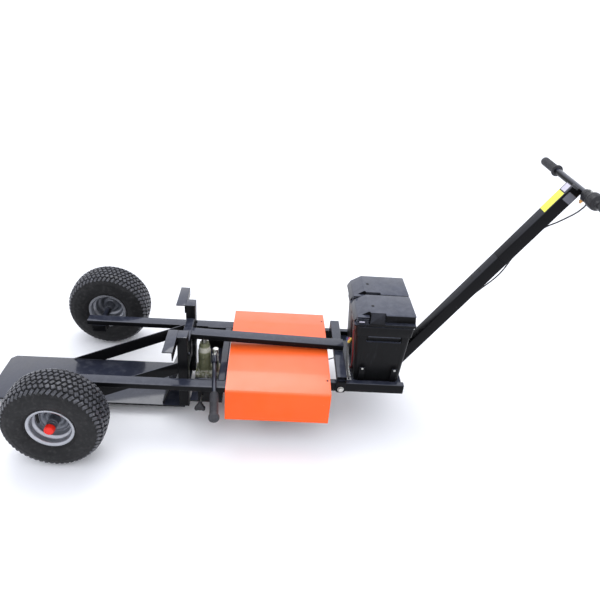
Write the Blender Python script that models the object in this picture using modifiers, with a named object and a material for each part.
import math

import bpy

# An aircraft pushback tractor that is walked behind: a low deck for the nose wheel, a lifting lever over a
# driven bogie, two batteries and a handle. Metres, +Z up, +X towards the operator, the ground at Z 0.

gap = 0.0003  # between pieces that touch

# Load wheels
axle_height = 0.190
tyre_radius = axle_height
tyre_width = 0.150
wheel_track = 0.762
rim_radius = 0.0875
axle_radius = 0.0125
wheel_y = wheel_track / 2

# Main rails, flat rectangular tube
rail_inner_y = 0.181
rail_outer_y = 0.229
rail_bottom = 0.205
rail_top = 0.230
rail_front = -0.050
rail_rear = 0.985
tube_wall = 0.003

# Deck for the nose wheel
deck_front = -0.394
deck_rear = 0.433
deck_half_width = 0.140
deck_bottom = 0.036
deck_thickness = 0.008
deck_corner = 0.020
deck_top = deck_bottom + deck_thickness

# Posts behind the deck
post_front = 0.410
post_rear = 0.450
post_inner_y = 0.090
post_top = 0.398
post_bottom = deck_top + gap
head_bottom = 0.283
head_top = 0.333

# Stop angles on the posts
angle_leg = 0.040
angle_thickness = 0.004
angle_inner_y = 0.089
angle_outer_y = 0.236

# Side braces
brace_thickness = 0.006
brace_foot_front = -0.117
brace_foot_rear = 0.022
brace_head_top = 0.271
brace_head_bottom = 0.217

# Lever and its pivot
pivot_x = 1.068
pivot_z = 0.222
lever_rear = 1.088
lever_half_width = 0.025
lever_depth = 0.025
lever_slope = 0.0362
lever_wall = 0.0025
yoke_half_width = 0.1965
yoke_front = 1.048
yoke_bottom = 0.2565
ear_thickness = 0.006
ear_bottom = 0.204
pivot_radius = 0.006

# Jack
jack_x = 0.500
jack_radius = 0.027
jack_base_bottom = 0.115
jack_base_top = 0.135
jack_shoulder = 0.235
jack_top = 0.277
ram_radius = 0.011
pump_x = 0.548
handle_pivot_y = -0.034
handle_pivot_z = 0.2385

# Drive unit under the cover
drive_x = 0.820
drive_radius = 0.125
drive_tyre_inner = 0.085
drive_wheel_inner_y = 0.075
drive_wheel_outer_y = 0.155
shaft_radius = 0.010
hanger_thickness = 0.005

# Cover, bent sheet
cover_front = 0.612
cover_rear = 1.022
cover_skirt_y = 0.281
cover_skirt_bottom = 0.116
cover_skirt_top = 0.260
cover_shoulder_y = 0.175
cover_shoulder = 0.274
cover_ridge = 0.2800
cover_sheet = 0.002

# Battery tray
tray_front = 1.0153
tray_rear = 1.323
tray_outer_y = 0.190
tray_beam_width = 0.025
tray_bottom = 0.205
tray_top = 0.2490
tray_floor_top = 0.230
tray_floor_thickness = 0.005
tray_floor_front = 1.098

# Battery boxes, one each side of the middle
box_foot_front = 1.124
box_foot_rear = 1.308
box_mouth_front = 1.108
box_mouth_rear = 1.330
box_mouth = 0.4997
box_half_gap = 0.001
box_outer_y = 0.150
box_foot_inset = 0.006
box_wall = 0.003
collar_height = 0.045
collar_proud = 0.003
lid_top = 0.556
lid_front = 1.094
lid_rear = 1.336
lid_shelf = 1.148
battery_top = 0.405

# Handle column, square tube in two pieces
column_x = 1.656
column_z = 0.7585
column_lean = math.radians(32.7)  # from upright, towards the operator
column_side = 0.050
column_seam = -0.010
column_end = 0.337
spigot_length = 0.120
foot_plate = 0.006

# Handlebar
bar_x = 1.870
bar_z = 1.050
bar_radius = 0.0127
bar_half_length = 0.315
grip_radius = 0.017
grip_inner_y = 0.197
grip_end_y = 0.3205
throttle_radius = 0.029

middle_x = (deck_front + bar_x + throttle_radius) / 2

origins = {
    "chassis": (0, 0, 0),
    "lift_arm": (pivot_x, 0, pivot_z),
    "jack_lift": (jack_x, 0, jack_base_top),
    "pump": (pump_x, handle_pivot_y, handle_pivot_z),
    "load_left": (0, -wheel_y, axle_height),
    "load_right": (0, wheel_y, axle_height),
    "drive_left": (drive_x, -drive_wheel_inner_y, drive_radius),
    "drive_right": (drive_x, drive_wheel_inner_y, drive_radius),
}

looks = {
    "black_paint": ((0.030, 0.032, 0.038), 0.25, 0.2),
    "orange_paint": ((0.95, 0.22, 0.035), 0.3, 0.0),
    "tyre": ((0.02, 0.02, 0.021), 0.85, 0.0),
    "rubber": ((0.03, 0.03, 0.032), 0.7, 0.0),
    "rim": ((0.42, 0.44, 0.46), 0.35, 0.8),
    "steel": ((0.6, 0.6, 0.6), 0.35, 1.0),
    "red_plastic": ((0.8, 0.03, 0.02), 0.4, 0.0),
    "black_plastic": ((0.045, 0.047, 0.055), 0.5, 0.0),
    "olive": ((0.16, 0.17, 0.10), 0.4, 0.1),
    "battery": ((0.10, 0.10, 0.11), 0.5, 0.0),
    "white_lead": ((0.75, 0.75, 0.73), 0.5, 0.0),
    "red_lead": ((0.5, 0.02, 0.02), 0.5, 0.0),
    "grey_lead": ((0.2, 0.2, 0.2), 0.5, 0.0),
}


# Scene

for old in list(bpy.data.objects):
    bpy.data.objects.remove(old, do_unlink=True)

parts = bpy.data.collections.new("pushback_tractor")
cutters = bpy.data.collections.new("cutters")
bpy.context.scene.collection.children.link(parts)
bpy.context.scene.collection.children.link(cutters)
cutters.hide_render = True

frames = {}
for frame_name, frame_origin in origins.items():
    frame_empty = bpy.data.objects.new(frame_name + "_frame", None)
    frame_empty.empty_display_size = 0.05
    frame_empty.location = frame_origin
    parts.objects.link(frame_empty)
    frames[frame_name] = frame_empty
for frame_name, frame_empty in frames.items():
    if frame_name != "chassis":
        frame_empty.parent = frames["chassis"]
frames["chassis"].location.x = -middle_x


def new_object(name, points, faces, edges=()):
    mesh = bpy.data.meshes.new(name)
    mesh.from_pydata(points, list(edges), faces)
    mesh.update()
    obj = bpy.data.objects.new(name, mesh)
    parts.objects.link(obj)
    return obj


def hang(obj, frame_name, look):
    """Parents the object to a body's frame, with its geometry left in machine coordinates."""
    obj.parent = frames[frame_name]
    obj.location = [place - start for place, start in zip(obj.location, origins[frame_name])]
    colour, roughness, metallic = looks[look]
    material = bpy.data.materials.new(obj.name)
    material.use_nodes = True
    shader = material.node_tree.nodes["Principled BSDF"]
    shader.inputs["Base Color"].default_value = (*colour, 1)
    shader.inputs["Roughness"].default_value = roughness
    shader.inputs["Metallic"].default_value = metallic
    material.diffuse_color = (*colour, 1)
    obj.data.materials.clear()
    obj.data.materials.append(material)
    return obj


def as_helper(obj):
    obj.parent = frames["chassis"]
    parts.objects.unlink(obj)
    cutters.objects.link(obj)
    obj.hide_render = True
    obj.display_type = "WIRE"


def boolean(obj, others, operation):
    for other in others:
        as_helper(other)
        modifier = obj.modifiers.new(operation.lower(), "BOOLEAN")
        modifier.operation = operation
        modifier.solver = "EXACT"
        modifier.object = other
    return obj


def unite(obj, *others):
    return boolean(obj, others, "UNION")


def cut(obj, *others):
    return boolean(obj, others, "DIFFERENCE")


def spread(outline, axis, place):
    """3-D points of a flat outline: axis x takes (y, z), y takes (x, z) and z takes (x, y)."""
    if axis == "x":
        return [(place, first, second) for first, second in outline]
    if axis == "y":
        return [(first, place, second) for first, second in outline]
    return [(first, second, place) for first, second in outline]


def area(outline):
    closed = outline[1:] + outline[:1]
    return sum(a[0] * b[1] - b[0] * a[1] for a, b in zip(outline, closed)) / 2


def prism(name, outline, axis, start, end):
    """A solid with the outline for its section, from start to end along the axis."""
    outline = list(outline)
    turns_out = area(outline) > 0
    if axis == "y":
        turns_out = not turns_out
    if not turns_out:
        outline.reverse()
    count = len(outline)
    points = spread(outline, axis, start) + spread(outline, axis, end)
    faces = [tuple(reversed(range(count))), tuple(range(count, 2 * count))]
    faces += [(i, (i + 1) % count, (i + 1) % count + count, i + count) for i in range(count)]
    return new_object(name, points, faces)


def box(name, x, y, z):
    return prism(name, [(x[0], y[0]), (x[1], y[0]), (x[1], y[1]), (x[0], y[1])], "z", z[0], z[1])


def rectangle(first, second):
    return [(first[0], second[0]), (first[1], second[0]), (first[1], second[1]), (first[0], second[1])]


def tube(name, section, axis, start, end, wall):
    """A rectangular tube, open at both ends."""
    first, second = section
    obj = prism(name, rectangle(first, second), axis, start, end)
    inside = rectangle((first[0] + wall, first[1] - wall), (second[0] + wall, second[1] - wall))
    return cut(obj, prism(name + "_bore", inside, axis, start - wall, end + wall))


def taper(name, low, low_z, high, high_z):
    """A box whose foot (x0, x1, y0, y1) differs from its top."""
    points = []
    for (x0, x1, y0, y1), z in ((low, low_z), (high, high_z)):
        points += [(x0, y0, z), (x1, y0, z), (x1, y1, z), (x0, y1, z)]
    faces = [(3, 2, 1, 0), (4, 5, 6, 7), (0, 1, 5, 4), (1, 2, 6, 5), (2, 3, 7, 6), (3, 0, 4, 7)]
    return new_object(name, points, faces)


def bar(name, start, end, radius, sides=24):
    """A round bar between two points, which lie in a plane square to X, Y or Z or anywhere else."""
    along = [b - a for a, b in zip(start, end)]
    length = math.sqrt(sum(step * step for step in along))
    along = [step / length for step in along]
    helper = (0, 0, 1) if abs(along[2]) < 0.9 else (1, 0, 0)
    side = cross(along, helper)
    size = math.sqrt(sum(step * step for step in side))
    side = [step / size for step in side]
    up = cross(along, side)
    points = []
    for middle in (start, end):
        for i in range(sides):
            turn = 2 * math.pi * i / sides
            points.append([
                middle[k] + radius * (math.cos(turn) * side[k] + math.sin(turn) * up[k]) for k in range(3)
            ])
    faces = [tuple(reversed(range(sides))), tuple(range(sides, 2 * sides))]
    faces += [(i, (i + 1) % sides, (i + 1) % sides + sides, i + sides) for i in range(sides)]
    return new_object(name, points, faces)


def cross(a, b):
    return [a[1] * b[2] - a[2] * b[1], a[2] * b[0] - a[0] * b[2], a[0] * b[1] - a[1] * b[0]]


def turned(name, profile, middle, outward, steps=64):
    """Spins a (radius, height) profile, closed or on the axis. Height runs along -Y, +Y or Z by outward."""
    points = [(radius, 0, height) for radius, height in profile]
    count = len(points)
    joins = count - 1 if profile[0][0] == 0 else count
    obj = new_object(name, points, [], [(i, (i + 1) % count) for i in range(joins)])
    screw = obj.modifiers.new("screw", "SCREW")
    screw.steps = steps
    screw.render_steps = steps
    screw.use_merge_vertices = True
    screw.merge_threshold = 0.0001
    screw.use_smooth_shade = False
    obj.location = middle
    if outward == "left":
        obj.rotation_euler = (math.pi / 2, 0, 0)
    if outward == "right":
        obj.rotation_euler = (-math.pi / 2, 0, 0)
    return obj


def cord(name, points, radius, handles="AUTO"):
    """A round cord along a smooth curve through the points, with its ends closed."""
    curve = bpy.data.curves.new(name, "CURVE")
    curve.dimensions = "3D"
    curve.bevel_depth = radius
    curve.bevel_resolution = 1
    curve.resolution_u = 4
    curve.use_fill_caps = True
    spline = curve.splines.new("BEZIER")
    spline.bezier_points.add(len(points) - 1)
    for knot, point in zip(spline.bezier_points, points):
        knot.co = point
        knot.handle_left_type = handles
        knot.handle_right_type = handles
    obj = bpy.data.objects.new(name, curve)
    parts.objects.link(obj)
    return obj


def lever_top(x):
    return head_top - lever_slope * (x - post_rear)


sides = {"left": -1, "right": 1}


def span(sign, near, far):
    """The Y range between two distances from the middle, on one side."""
    return tuple(sorted((sign * near, sign * far)))


# Chassis: rails, cross members, axles

for side, sign in sides.items():
    rail_y = span(sign, rail_inner_y, rail_outer_y)
    rail = tube("rail_" + side, (rail_y, (rail_bottom, rail_top)), "x", rail_front, rail_rear - gap, tube_wall)
    hang(rail, "chassis", "black_paint")

front_cross_x = (0.575, 0.605)
front_cross = tube(
    "front_cross_member", (front_cross_x, (rail_bottom, rail_top)), "y", -rail_inner_y + gap, rail_inner_y - gap,
    tube_wall,
)
hang(front_cross, "chassis", "black_paint")

rear_cross = tube(
    "rear_cross_member", ((rail_rear, tray_front - gap), (rail_bottom, tray_top)), "y", -rail_outer_y, rail_outer_y,
    tube_wall,
)
hang(rear_cross, "chassis", "black_paint")

saddle_half_length = 0.030
saddle_bottom = axle_height - 0.018
axle_end_y = wheel_y + 0.058
axle_collar_y = wheel_y - 0.051
shoulder_radius = axle_radius + 0.002
for side, sign in sides.items():
    axle = box(
        "stub_axle_" + side, (-saddle_half_length, saddle_half_length), span(sign, rail_inner_y, rail_outer_y),
        (saddle_bottom, rail_bottom - gap),
    )
    spindle = bar(
        "spindle_" + side, (0, sign * (rail_inner_y + 0.010), axle_height), (0, sign * axle_end_y, axle_height),
        axle_radius, 40,
    )
    shoulder = bar(
        "shoulder_" + side, (0, sign * (rail_outer_y - 0.005), axle_height), (0, sign * axle_collar_y, axle_height),
        shoulder_radius,
    )
    hang(unite(axle, spindle, shoulder), "chassis", "black_paint")


# Load wheels

half_width = tyre_width / 2
tyre_profile = [
    (0.0785, 0.0535), (0.0885, 0.0550), (0.0960, 0.0650), (0.1120, 0.0735), (0.1280, half_width),
    (0.1450, 0.0735), (0.1600, 0.0700), (0.1720, 0.0650), (0.1800, 0.0570), (0.1855, 0.0450),
    (0.1885, 0.0250), (tyre_radius, 0.0), (0.1885, -0.0250), (0.1855, -0.0450), (0.1800, -0.0570),
    (0.1720, -0.0650), (0.1600, -0.0700), (0.1450, -0.0735), (0.1280, -half_width), (0.1120, -0.0735),
    (0.0960, -0.0650), (0.0885, -0.0550), (0.0785, -0.0535), (0.0785, -0.0440), (0.0980, -0.0570),
    (0.1300, -0.0665), (0.1640, -0.0560), (0.1760, -0.0200), (0.1760, 0.0200), (0.1640, 0.0560),
    (0.1300, 0.0665), (0.0980, 0.0570), (0.0785, 0.0440),
]
hub_radius = 0.0205
hub_bore = axle_radius + gap
rim_profile = [
    (rim_radius, 0.0585), (rim_radius, 0.0555), (0.0780, 0.0545), (0.0765, 0.0340), (0.0660, 0.0260),
    (0.0660, -0.0260), (0.0765, -0.0340), (0.0780, -0.0545), (rim_radius, -0.0555), (rim_radius, -0.0585),
    (0.0745, -0.0580), (0.0735, -0.0360), (0.0630, -0.0280), (0.0630, 0.0060), (0.0500, 0.0100),
    (0.0320, -0.0020), (hub_radius, -0.0040), (hub_radius, -0.0480), (hub_bore, -0.0480), (hub_bore, 0.0360),
    (hub_radius, 0.0360), (hub_radius, 0.0000), (0.0320, 0.0020), (0.0500, 0.0140), (0.0630, 0.0100),
    (0.0630, 0.0280), (0.0735, 0.0360), (0.0745, 0.0580),
]
cap_bore = axle_radius + 0.004
cap_radius = 0.0185
cap_profile = [
    (0.0, 0.0745), (0.0140, 0.0745), (0.0170, 0.0715), (cap_radius, 0.0363), (cap_bore, 0.0363),
    (cap_bore, 0.0685), (0.0, 0.0685),
]
for side in sides:
    middle = origins["load_" + side]
    body = "load_" + side
    hang(turned("tyre_" + side, tyre_profile, middle, side, 48), body, "tyre")
    hang(turned("rim_" + side, rim_profile, middle, side, 48), body, "rim")
    hang(turned("hub_cap_" + side, cap_profile, middle, side, 24), body, "red_plastic")


# Lift arm: deck, posts, braces, lever, yoke

deck_outline = [
    (deck_front + deck_corner, -deck_half_width), (deck_rear, -deck_half_width), (deck_rear, deck_half_width),
    (deck_front + deck_corner, deck_half_width), (deck_front, deck_half_width - deck_corner),
    (deck_front, -deck_half_width + deck_corner),
]
hang(prism("deck_plate", deck_outline, "z", deck_bottom, deck_top), "lift_arm", "black_paint")

posts = box(
    "nose_posts", (post_front, post_rear), (-deck_half_width, -post_inner_y),
    (post_bottom, post_top),
)
far_post = box("far_post", (post_front, post_rear), (post_inner_y, deck_half_width), (post_bottom, post_top))
head_lap = 0.0015
head_y = post_inner_y + head_lap
head = box("head", (post_front + 0.002, post_rear - 0.002), (-head_y, head_y), (head_bottom, head_top))
web = box("web", (post_rear - 0.012, post_rear - 0.004), (-head_y, head_y), (ear_bottom, head_bottom + 0.005))
unite(posts, far_post, head, web)
post_cap = 0.003
for sign in sides.values():
    bore_y = span(sign, post_inner_y + tube_wall, deck_half_width - tube_wall)
    bore_x = (post_front + tube_wall, post_rear - tube_wall)
    cut(posts, box("post_bore", bore_x, bore_y, (post_bottom - post_cap, post_top - post_cap)))
hang(posts, "lift_arm", "black_paint")

for side, sign in sides.items():
    rear = post_front - gap
    angle_outline = [
        (rear - angle_leg, post_top), (rear, post_top), (rear, post_top - angle_leg),
        (rear - angle_thickness, post_top - angle_leg), (rear - angle_thickness, post_top - angle_thickness),
        (rear - angle_leg, post_top - angle_thickness),
    ]
    angle_y = span(sign, angle_inner_y, angle_outer_y)
    hang(prism("stop_angle_" + side, angle_outline, "y", *angle_y), "lift_arm", "black_paint")

    brace_outline = [
        (brace_foot_front, deck_top + gap), (brace_foot_rear, deck_top + gap), (rear, brace_head_bottom),
        (rear, brace_head_top),
    ]
    brace_y = span(sign, deck_half_width - brace_thickness, deck_half_width)
    hang(prism("brace_" + side, brace_outline, "y", *brace_y), "lift_arm", "black_paint")

plate_foot = 0.338
plate_thickness = 0.005
plate_top = 0.215
plate_outline = [
    (plate_foot, deck_top + gap), (plate_foot + plate_thickness, deck_top + gap), (post_front - gap, plate_top),
    (post_front - gap - plate_thickness, plate_top),
]
plate_y = deck_half_width - brace_thickness - gap
hang(prism("back_plate", plate_outline, "y", -plate_y, plate_y), "lift_arm", "black_paint")

lever_front = post_rear - 0.002 + gap


def lever_outline(top_inset, bottom_inset, overrun):
    ends = (lever_front - overrun, lever_rear + overrun)
    top = [(x, lever_top(x) - top_inset) for x in ends]
    bottom = [(x, lever_top(x) - lever_depth + bottom_inset) for x in reversed(ends)]
    return top + bottom


lever = prism("lift_lever", lever_outline(0, 0, 0), "y", -lever_half_width, lever_half_width)
gusset_thickness = 0.006
gusset_tip = 0.205
gusset_rear = 0.470
gusset_outline = [
    (lever_front, lever_top(lever_front) - lever_depth + 0.001),
    (gusset_rear, lever_top(gusset_rear) - lever_depth + 0.001), (gusset_rear, 0.300),
    (lever_front + 0.008, gusset_tip), (lever_front, gusset_tip),
]
gusset = prism("gusset", gusset_outline, "y", -gusset_thickness / 2, gusset_thickness / 2)
rod_x = lever_front + 0.0045
stop_rod = bar("stop_rod", (rod_x, 0, 0.118), (rod_x, 0, gusset_tip + 0.010), 0.0035, 16)
unite(lever, gusset, stop_rod)
lever_bore = prism(
    "lever_bore", lever_outline(lever_wall, lever_wall, 0.010), "y", -lever_half_width + lever_wall,
    lever_half_width - lever_wall,
)
hang(cut(lever, lever_bore), "lift_arm", "black_paint")

yoke_top = lever_top(lever_rear) - lever_depth - gap
yoke = box("pivot_yoke", (yoke_front, lever_rear), (-yoke_half_width, yoke_half_width), (yoke_bottom, yoke_top))
ears = []
for side, sign in sides.items():
    ear_y = span(sign, yoke_half_width - ear_thickness, yoke_half_width)
    ears.append(box("ear_" + side, (yoke_front, lever_rear), ear_y, (ear_bottom, yoke_bottom + 0.002)))
unite(yoke, *ears)
yoke_reach = yoke_half_width + 0.005
yoke_inside = box(
    "yoke_bore", (yoke_front + tube_wall, lever_rear - tube_wall), (-yoke_reach, yoke_reach),
    (yoke_bottom + tube_wall, yoke_top - tube_wall),
)
pin_hole = bar("pin_hole", (pivot_x, -yoke_reach, pivot_z), (pivot_x, yoke_reach, pivot_z), pivot_radius + gap, 32)
hang(cut(yoke, yoke_inside, pin_hole), "lift_arm", "black_paint")


# Jack and its cradle

cradle_floor_top = jack_base_bottom - gap
cradle_plate = 0.006
cradle_x = (0.495, 0.592)
cradle_floor = box(
    "jack_cradle", (0.4625, cradle_x[1]), (-rail_inner_y + gap, rail_inner_y - gap),
    (cradle_floor_top - cradle_plate, cradle_floor_top),
)
for side, sign in sides.items():
    wall_y = span(sign, rail_inner_y - gap - cradle_plate, rail_inner_y - gap)
    unite(cradle_floor, box("cradle_wall_" + side, cradle_x, wall_y, (cradle_floor_top - 0.003, rail_top - gap)))
valve_x = 0.512
valve_root_z = 0.127
valve_knob_z = 0.150
valve_root_y = -0.0423
valve_knob_y = -0.245
valve_radius = 0.004
valve_reach = -rail_inner_y - 0.005


def valve_point(y):
    share = (y - valve_root_y) / (valve_knob_y - valve_root_y)
    return (valve_x, y, valve_root_z + share * (valve_knob_z - valve_root_z))


cut(
    cradle_floor,
    bar("valve_hole", valve_point(valve_reach), valve_point(-0.150), valve_radius + 0.0015, 20),
    box("cross_notch", (front_cross_x[0] - gap, cradle_x[1] + 0.010), (-0.200, 0.200),
        (rail_bottom - gap, rail_top + 0.010)),
)
hang(cradle_floor, "chassis", "black_paint")

jack_base_y = 0.0415
jack_base_front = 0.463
jack_base_rear = 0.566
jack = box(
    "jack_body", (jack_base_front, jack_base_rear), (-jack_base_y, jack_base_y), (jack_base_bottom, jack_base_top),
)
jack_lap = 0.005
ram_seat = 0.165
barrel = turned(
    "jack_barrel",
    [
        (0.0, jack_top), (0.019, jack_top), (0.021, 0.262), (0.024, 0.258), (0.0245, jack_shoulder + 0.003),
        (jack_radius, jack_shoulder), (jack_radius, jack_base_top - jack_lap), (0.0, jack_base_top - jack_lap),
    ],
    (jack_x, 0, 0), "up", 28,
)
pump_barrel_radius = 0.013
pump_barrel_top = 0.184
plunger_radius = 0.0125
plunger_top = 0.246
pump_barrel = bar(
    "pump_barrel", (pump_x, 0, jack_base_top - jack_lap), (pump_x, 0, pump_barrel_top), pump_barrel_radius,
)
lug_x = (pump_x - 0.0035, pump_x + 0.0035)
pump_lug = prism(
    "pump_lug",
    [(-0.012, 0.140), (-0.012, 0.183), (handle_pivot_y + 0.008, 0.200), (handle_pivot_y + 0.008, 0.2450),
     (handle_pivot_y - 0.008, 0.2450), (handle_pivot_y - 0.008, 0.185), (-0.0260, 0.140)],
    "x", *lug_x,
)
pin_radius = 0.003
lug_hole = bar(
    "lug_hole", (lug_x[0] - 0.010, handle_pivot_y, handle_pivot_z),
    (lug_x[1] + 0.010, handle_pivot_y, handle_pivot_z), pin_radius + gap, 20,
)
cut(pump_lug, lug_hole)
unite(jack, barrel, pump_barrel, pump_lug)
cut(jack, bar("ram_bore", (jack_x, 0, ram_seat), (jack_x, 0, jack_top + 0.010), ram_radius + 0.0005, 28))
hang(jack, "chassis", "olive")

plunger = bar("pump_plunger", (pump_x, 0, pump_barrel_top + gap), (pump_x, 0, plunger_top), plunger_radius)
hang(plunger, "chassis", "steel")

valve = bar("release_valve", valve_point(valve_root_y), valve_point(valve_knob_y), valve_radius, 16)
knob_radius = 0.013
knob_lobe = 0.007
knob_length = 0.018
knob_end = valve_knob_y - knob_length
knob = bar("knob", valve_point(valve_knob_y + 0.002), valve_point(knob_end), knob_radius, 24)
lobes = []
for lobe in range(3):
    turn = 2 * math.pi * (lobe / 3 + 0.25)
    centre = (valve_x + knob_radius * math.cos(turn), valve_knob_z + knob_radius * math.sin(turn))
    start = (centre[0], valve_knob_y + 0.001, centre[1])
    end = (centre[0], knob_end + 0.001, centre[1])
    lobes.append(bar("lobe", start, end, knob_lobe, 16))
hang(unite(valve, knob, *lobes), "chassis", "black_plastic")

ram_top = lever_top(jack_x + 0.009) - lever_depth - gap
ram = turned(
    "jack_ram",
    [
        (0.0, ram_top), (0.009, ram_top), (ram_radius, ram_top - 0.003), (ram_radius, ram_seat + 0.002),
        (0.0, ram_seat + 0.002),
    ],
    (jack_x, 0, 0), "up", 28,
)
hang(ram, "jack_lift", "steel")

# Pump handle: a fork on the lug, a tube over the rail and a rubber grip
handle_knee = (pump_x, -0.0560, handle_pivot_z)
handle_far = (0.5715, -0.284, 0.2500)
handle_end = (0.5850, -0.418, 0.2535)
handle_radius = 0.009
pump_handle = bar("pump_handle", handle_knee, handle_far, handle_radius, 20)
knee_cap = bar("knee_cap", handle_knee, (pump_x, -0.0480, handle_pivot_z), 0.0115, 20)
unite(pump_handle, knee_cap)
cheek_thickness = 0.004
cheek_inner = 0.0040
cheek_half_height = 0.0065
for cheek_side in sides.values():
    cheek_x = span(cheek_side, cheek_inner, cheek_inner + cheek_thickness)
    cheek_x = (pump_x + cheek_x[0], pump_x + cheek_x[1])
    cheek = box(
        "cheek", cheek_x, (-0.0500, handle_pivot_y + 0.009),
        (handle_pivot_z - cheek_half_height, handle_pivot_z + cheek_half_height),
    )
    unite(pump_handle, cheek)
fork_reach = cheek_inner + cheek_thickness - 0.0005
unite(
    pump_handle,
    bar("fork_pin", (pump_x - fork_reach, handle_pivot_y, handle_pivot_z),
        (pump_x + fork_reach, handle_pivot_y, handle_pivot_z), pin_radius, 20),
)
along = [b - a for a, b in zip(handle_far, handle_end)]


def on_handle(share):
    return [a + share * step for a, step in zip(handle_far, along)]


unite(pump_handle, bar("handle_tail", on_handle(-0.05), on_handle(0.92), handle_radius, 20))
hang(pump_handle, "pump", "black_paint")

pump_grip_radius = 0.0165
flange_radius = 0.0205
pump_grip = bar("pump_grip", on_handle(0.03), handle_end, pump_grip_radius, 24)
unite(pump_grip, bar("grip_flange", on_handle(0.94), on_handle(1.03), flange_radius, 24))
cut(pump_grip, bar("grip_bore", on_handle(-0.1), on_handle(0.925), handle_radius + gap, 20))
hang(pump_grip, "pump", "rubber")


# Drive unit

hanger_outer_y = rail_inner_y - gap
hanger_inner_y = hanger_outer_y - hanger_thickness
carrier_front = 0.9450
carrier_top = rail_bottom - gap
carrier_bottom = carrier_top - 0.008
drive_mount = box("drive_mount", (carrier_front, rail_rear - gap), (-rail_outer_y, rail_outer_y),
                  (carrier_bottom, carrier_top))
hanger_outline = [
    (drive_x - 0.035, 0.095), (drive_x + 0.035, 0.095), (drive_x + 0.055, 0.190), (rail_rear - gap, 0.190),
    (rail_rear - gap, rail_top - 0.002), (drive_x - 0.055, rail_top - 0.002), (drive_x - 0.055, 0.190),
]
for side, sign in sides.items():
    unite(drive_mount, prism("hanger_" + side, hanger_outline, "y", *span(sign, hanger_inner_y, hanger_outer_y)))
hanger_reach = hanger_outer_y + 0.010
cut(
    drive_mount,
    bar("hanger_bore", (drive_x, -hanger_reach, drive_radius), (drive_x, hanger_reach, drive_radius),
        shaft_radius + gap, 32),
)
hang(drive_mount, "chassis", "black_paint")

gearbox_half_width = 0.045
gearbox_front = drive_x - 0.050
gearbox_rear = drive_x + 0.050
gearbox_z = (drive_radius - 0.050, drive_radius + 0.053)
gearbox = box("drive_gearbox", (gearbox_front, gearbox_rear), (-gearbox_half_width, gearbox_half_width), gearbox_z)
arm_half_width = 0.020
arm_y = (-arm_half_width, arm_half_width)
arm_top = carrier_bottom - gap
gearbox_arm = box("gearbox_arm", (gearbox_rear - 0.010, 0.980), arm_y, (gearbox_z[1] - 0.0015, arm_top))
gearbox_rise = box("gearbox_rise", (drive_x, gearbox_rear - 0.004), arm_y, (gearbox_z[1] - 0.008, arm_top))
unite(gearbox, gearbox_arm, gearbox_rise)
cut(
    gearbox,
    bar("gearbox_bore", (drive_x, -0.060, drive_radius), (drive_x, 0.060, drive_radius), shaft_radius + gap, 32),
)
hang(gearbox, "chassis", "battery")
motor_end = 0.9700
motor_z = 0.127
motor_radius = 0.045
motor = bar("drive_motor", (gearbox_rear + gap, 0, motor_z), (motor_end, 0, motor_z), motor_radius, 40)
hang(motor, "chassis", "battery")

drive_width = drive_wheel_outer_y - drive_wheel_inner_y
drive_tyre_profile = [
    (drive_tyre_inner, drive_width), (0.115, drive_width), (0.1215, drive_width - 0.004),
    (drive_radius, drive_width - 0.012), (drive_radius, 0.012), (0.1215, 0.004), (0.115, 0.0),
    (drive_tyre_inner, 0.0),
]
shaft_inner = gearbox_half_width - drive_wheel_inner_y - 0.042
shaft_outer = hanger_outer_y - drive_wheel_inner_y + 0.001
drive_hub_profile = [
    (0.0, shaft_outer), (shaft_radius, shaft_outer), (shaft_radius, 0.086), (0.024, 0.086), (0.024, 0.046),
    (0.0780, 0.046), (drive_tyre_inner - gap, drive_width - 0.002), (drive_tyre_inner - gap, 0.002),
    (0.0780, 0.034), (0.024, 0.034), (0.024, -0.010), (shaft_radius, -0.010), (shaft_radius, shaft_inner),
    (0.0, shaft_inner),
]
for side in sides:
    body = "drive_" + side
    hang(turned("drive_tyre_" + side, drive_tyre_profile, origins[body], side, 36), body, "tyre")
    hang(turned("drive_hub_" + side, drive_hub_profile, origins[body], side, 36), body, "rim")


# Cover

half_outline = [
    (cover_skirt_y, cover_skirt_bottom), (cover_skirt_y, cover_skirt_top), (cover_shoulder_y, cover_shoulder),
]
inner_half = [
    (cover_skirt_y - cover_sheet, cover_skirt_bottom), (cover_skirt_y - cover_sheet, cover_skirt_top - 0.0017),
    (cover_shoulder_y, cover_shoulder - cover_sheet),
]
cover_outline = [(-y, z) for y, z in half_outline] + [(0, cover_ridge)] + half_outline[::-1]
cover_outline += inner_half + [(0, cover_ridge - cover_sheet)] + [(-y, z) for y, z in inner_half[::-1]]
cover = prism("drive_cover", cover_outline, "x", cover_front, cover_rear)
cover_foot = (0.016, 0.012)
cover_foot_y = (rail_inner_y + rail_outer_y - cover_foot[1]) / 2
cover_foot_top = 0.2685
for sign in sides.values():
    for start in (cover_front + 0.038, cover_rear - 0.062):
        stand_y = span(sign, cover_foot_y, cover_foot_y + cover_foot[1])
        unite(cover, box("cover_foot", (start, start + cover_foot[0]), stand_y, (rail_top + gap, cover_foot_top)))
hang(cover, "chassis", "orange_paint")


# Battery tray

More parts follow.
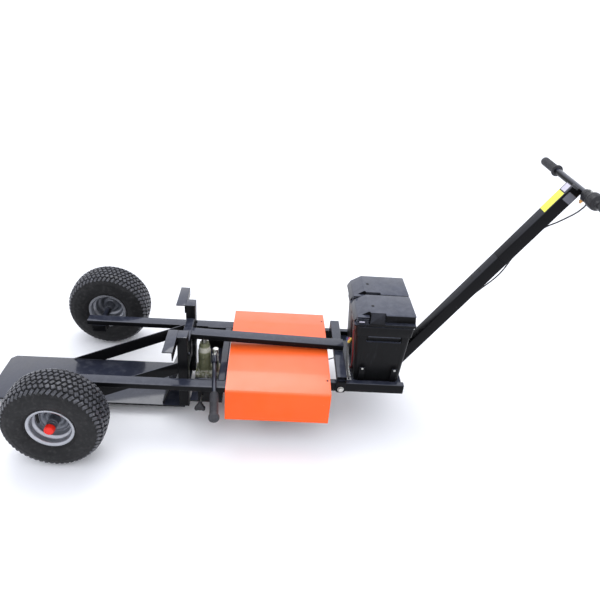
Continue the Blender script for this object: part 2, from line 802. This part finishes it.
tray_inner_y = tray_outer_y - tray_beam_width
rear_beam_front = tray_rear - tray_beam_width
tray = box("battery_tray", (tray_floor_front, tray_rear - 0.001), (-tray_inner_y - 0.0015, tray_inner_y + 0.0015),
           (tray_floor_top - tray_floor_thickness, tray_floor_top))
for side, sign in sides.items():
    beam = box("tray_beam_" + side, (tray_front, tray_rear), span(sign, tray_inner_y, tray_outer_y),
               (tray_bottom, tray_top))
    unite(tray, beam)
rear_beam = box("tray_rear_beam", (rear_beam_front, tray_rear), (-tray_inner_y - 0.002, tray_inner_y + 0.002),
                (tray_bottom, tray_floor_top - 0.002))
unite(tray, rear_beam)
tray_holes = [bar("bolt_bore", (pivot_x, -0.200, pivot_z), (pivot_x, 0.200, pivot_z), pivot_radius + gap, 32)]
for sign in sides.values():
    hollow_y = span(sign, tray_inner_y + tube_wall, tray_outer_y - tube_wall)
    tray_holes.append(box("beam_bore", (tray_front - 0.010, rear_beam_front), hollow_y,
                          (tray_bottom + tube_wall, tray_top - tube_wall)))
tray_holes.append(box("rear_bore", (rear_beam_front + tube_wall, tray_rear - tube_wall), (-0.250, 0.250),
                      (tray_bottom + tube_wall, tray_floor_top - tray_floor_thickness - 0.001)))
cut(tray, *tray_holes)
hang(tray, "chassis", "black_paint")

bolt_head = 0.0105
bolt_head_length = 0.007
for side, sign in sides.items():
    inner_end = (pivot_x, sign * (tray_inner_y - 0.004), pivot_z)
    head_start = sign * (yoke_half_width + 0.0005)
    bolt = bar("pivot_bolt_" + side, inner_end, (pivot_x, head_start + sign * 0.001, pivot_z), pivot_radius, 32)
    head_end = (pivot_x, head_start + sign * bolt_head_length, pivot_z)
    head = bar("bolt_head", (pivot_x, head_start, pivot_z), head_end, bolt_head, 6)
    hang(unite(bolt, head), "chassis", "steel")


# Batteries and their boxes

foot_z = tray_floor_top + gap
collar_low = box_mouth - collar_height
for side, sign in sides.items():
    foot_y = span(sign, box_half_gap + 0.003 + box_foot_inset, box_outer_y - box_foot_inset)
    mouth_y = span(sign, box_half_gap + collar_proud, box_outer_y - collar_proud)
    case = taper(
        "battery_box_" + side, (box_foot_front, box_foot_rear, *foot_y), foot_z,
        (box_mouth_front, box_mouth_rear - 0.006, *mouth_y), box_mouth,
    )
    collar_y = span(sign, box_half_gap, box_outer_y)
    collar = taper(
        "collar_" + side, (box_mouth_front - 0.004, box_mouth_rear - 0.003, *collar_y), collar_low,
        (box_mouth_front - 0.006, box_mouth_rear, *collar_y), box_mouth,
    )
    unite(case, collar)
    wall = box_wall
    inside = taper(
        "case_bore_" + side,
        (box_foot_front + wall, box_foot_rear - wall, foot_y[0] + wall, foot_y[1] - wall), foot_z + wall,
        (box_mouth_front + wall, box_mouth_rear - 0.006 - wall, mouth_y[0] + wall, mouth_y[1] - wall),
        box_mouth + 0.002,
    )
    hang(cut(case, inside), "chassis", "black_plastic")

    lid_base = box_mouth + gap
    lid_outline = [
        (lid_front, lid_base), (lid_rear, lid_base), (lid_rear - 0.004, lid_top - 0.005), (lid_rear - 0.009, lid_top),
        (lid_shelf, lid_top), (lid_front + 0.012, lid_top - 0.026), (lid_front + 0.001, lid_base + 0.008),
    ]
    lid = prism("battery_lid_" + side, lid_outline, "y", *collar_y)
    lid_inset = 0.004
    lid_inside = [
        (lid_front + 0.018, lid_base - 0.010), (lid_rear - 0.012, lid_base - 0.010),
        (lid_rear - 0.012, lid_top - lid_inset), (lid_shelf + 0.002, lid_top - lid_inset),
        (lid_front + 0.018, lid_top - 0.030),
    ]
    lid_hollow = prism("lid_bore_" + side, lid_inside, "y", collar_y[0] + lid_inset, collar_y[1] - lid_inset)
    hang(cut(lid, lid_hollow), "chassis", "black_plastic")

    battery_y = (foot_y[0] + wall + 0.002, foot_y[1] - wall - 0.002)
    battery = box(
        "battery_" + side, (box_foot_front + wall + 0.004, box_foot_rear - wall - 0.004), battery_y,
        (foot_z + wall + gap, battery_top),
    )
    hang(battery, "chassis", "battery")


# Handle column

half_side = column_side / 2
lean_sin = math.sin(column_lean)
lean_cos = math.cos(column_lean)


def on_column(across, up, y=0.0):
    """A point by its distance across the column (towards its underside) and up its length."""
    x = column_x + across * lean_cos + up * lean_sin
    z = column_z - across * lean_sin + up * lean_cos
    return (x, y, z)


def leaning(name, section, low, high):
    """A rectangular bar along the column, sized across (from the top face) and in Y."""
    across, y = section
    points = []
    for up in (low, high):
        points += [on_column(across[0], up, y[0]), on_column(across[1], up, y[0])]
        points += [on_column(across[1], up, y[1]), on_column(across[0], up, y[1])]
    faces = [(3, 2, 1, 0), (4, 5, 6, 7), (0, 1, 5, 4), (1, 2, 6, 5), (2, 3, 7, 6), (3, 0, 4, 7)]
    return new_object(name, points, faces)


def square(half):
    return ((-half, half), (-half, half))


foot_x = tray_rear + gap
foot_half_width = 0.045
foot_z_range = (0.188, 0.300)
foot = box("column_foot", (foot_x, foot_x + foot_plate), (-foot_half_width, foot_half_width), foot_z_range)
hang(foot, "chassis", "black_paint")

column_low = -0.680  # buried end, cut off along the foot plate
lower = leaning("column_lower", square(half_side), column_low, column_seam)
mitre = box("mitre", (foot_x - 0.300, foot_x + foot_plate + gap), (-0.100, 0.100), (0, 0.600))
cut(lower, leaning("lower_bore", square(half_side - tube_wall), column_low - 0.010, column_seam + 0.010), mitre)
hang(lower, "chassis", "black_paint")

upper = leaning("column_upper", square(half_side), column_seam + gap, column_end)
cap_thickness = 0.004
cut(
    upper,
    leaning("upper_bore", square(half_side - tube_wall), column_seam + gap + 0.010, column_end - cap_thickness),
)
spigot_half = half_side - tube_wall - gap
unite(upper, leaning("spigot", square(spigot_half), column_seam - spigot_length, column_seam + 0.005))
cut(upper, leaning("spigot_bore", square(spigot_half - tube_wall), column_seam - spigot_length - 0.010,
                   column_seam + 0.020))
bar_offset = (bar_x - column_x, bar_z - column_z)
bar_up = bar_offset[0] * lean_sin + bar_offset[1] * lean_cos
saddle = leaning("saddle", ((0.000, half_side), (-half_side, half_side)), column_end - 0.002, bar_up)
unite(upper, saddle)
cut(upper, bar("saddle_cut", (bar_x, -0.100, bar_z), (bar_x, 0.100, bar_z), bar_radius + gap, 28))
hang(upper, "chassis", "black_paint")


# Handlebar

hang(bar("handlebar", (bar_x, -bar_half_length, bar_z), (bar_x, bar_half_length, bar_z), bar_radius, 28),
     "chassis", "black_paint")
sleeve = bar_radius + gap
grip_profile = [
    (0.0, grip_end_y), (grip_radius - 0.003, grip_end_y), (grip_radius, grip_end_y - 0.004),
    (grip_radius, grip_inner_y + 0.008), (0.0230, grip_inner_y + 0.006), (0.0230, grip_inner_y),
    (sleeve, grip_inner_y), (sleeve, bar_half_length + gap), (0.0, bar_half_length + gap),
]
for side in sides:
    hang(turned("grip_" + side, grip_profile, (bar_x, 0, bar_z), side, 28), "chassis", "rubber")
throttle_profile = [
    (0.0175, grip_inner_y - gap), (0.0175, 0.140), (0.0270, 0.136), (throttle_radius, 0.128), (throttle_radius, 0.102),
    (0.0270, 0.094), (0.0210, 0.090), (0.0210, 0.050), (0.0190, 0.046), (sleeve, 0.046), (sleeve, grip_inner_y - gap),
]
hang(turned("throttle_housing", throttle_profile, (bar_x, 0, bar_z), "left", 28), "chassis", "black_plastic")


# Cords, held at both ends and along the column

cable_radius = 0.0028
under = half_side + cable_radius + gap
cable_points = [
    (bar_x, -0.070, bar_z - 0.0215 - cable_radius), (bar_x - 0.002, -0.066, bar_z - 0.042),
    on_column(under + 0.014, 0.235, -0.030), on_column(under + 0.003, 0.180, -0.008),
    on_column(under + 0.0005, 0.120, 0), on_column(under + 0.0060, 0.035, 0), on_column(0.0500, -0.060, 0),
    on_column(0.0400, -0.155, 0), on_column(under + 0.0022, -0.230, 0), on_column(under + 0.0006, -0.310, 0),
    on_column(under + 0.0004, -0.450, 0), on_column(under + 0.0015, -0.540, 0.012), (1.358, 0.036, 0.200),
    (1.334, 0.040, 0.1800), (1.300, 0.041, 0.1955), (1.200, 0.040, 0.2000), (1.030, 0.020, 0.1985),
    (0.998, 0.010, 0.170), (motor_end + 0.014, 0, 0.134), (motor_end + 0.0008, 0, 0.134),
]
cable = cord("throttle_cable", cable_points, cable_radius)
hang(cable, "chassis", "grey_lead")

lead_radius = 0.0030
lead_rest = tray_floor_top + 2 * gap + lead_radius
lead_x = 1.1035
connector_z = 0.318
leads = {
    "grey": [
        (lead_x, -0.012, connector_z), (lead_x, -0.020, 0.296), (lead_x, -0.055, 0.262), (lead_x, -0.098, 0.240),
        (lead_x + 0.001, -0.122, lead_rest), (lead_x + 0.003, -0.140, lead_rest),
    ],
    "white": [
        (lead_x + 0.003, 0.004, connector_z), (lead_x + 0.005, -0.008, 0.290), (lead_x + 0.006, -0.040, 0.262),
        (lead_x + 0.006, -0.080, 0.243), (lead_x + 0.008, -0.108, lead_rest), (lead_x + 0.009, -0.126, lead_rest),
    ],
}
for colour, points in leads.items():
    hang(cord("battery_lead_" + colour, points, lead_radius), "chassis", colour + "_lead")
connector = box("lead_connector", (lead_x - 0.0050, lead_x + 0.0090), (-0.022, 0.014), (connector_z + 0.002, 0.346))
hang(connector, "chassis", "battery")

red_points = [
    (box_mouth_front - 0.0050 - lead_radius - gap, -0.128, 0.470), (1.0990, -0.129, 0.455), (1.1010, -0.130, 0.430),
    (1.1065, -0.128, 0.380), (1.1120, -0.120, 0.320), (1.1150, -0.104, 0.275), (1.1168, -0.086, 0.246),
    (1.1170, -0.062, lead_rest - gap),
]
hang(cord("battery_lead_red", red_points, lead_radius), "chassis", "red_lead")
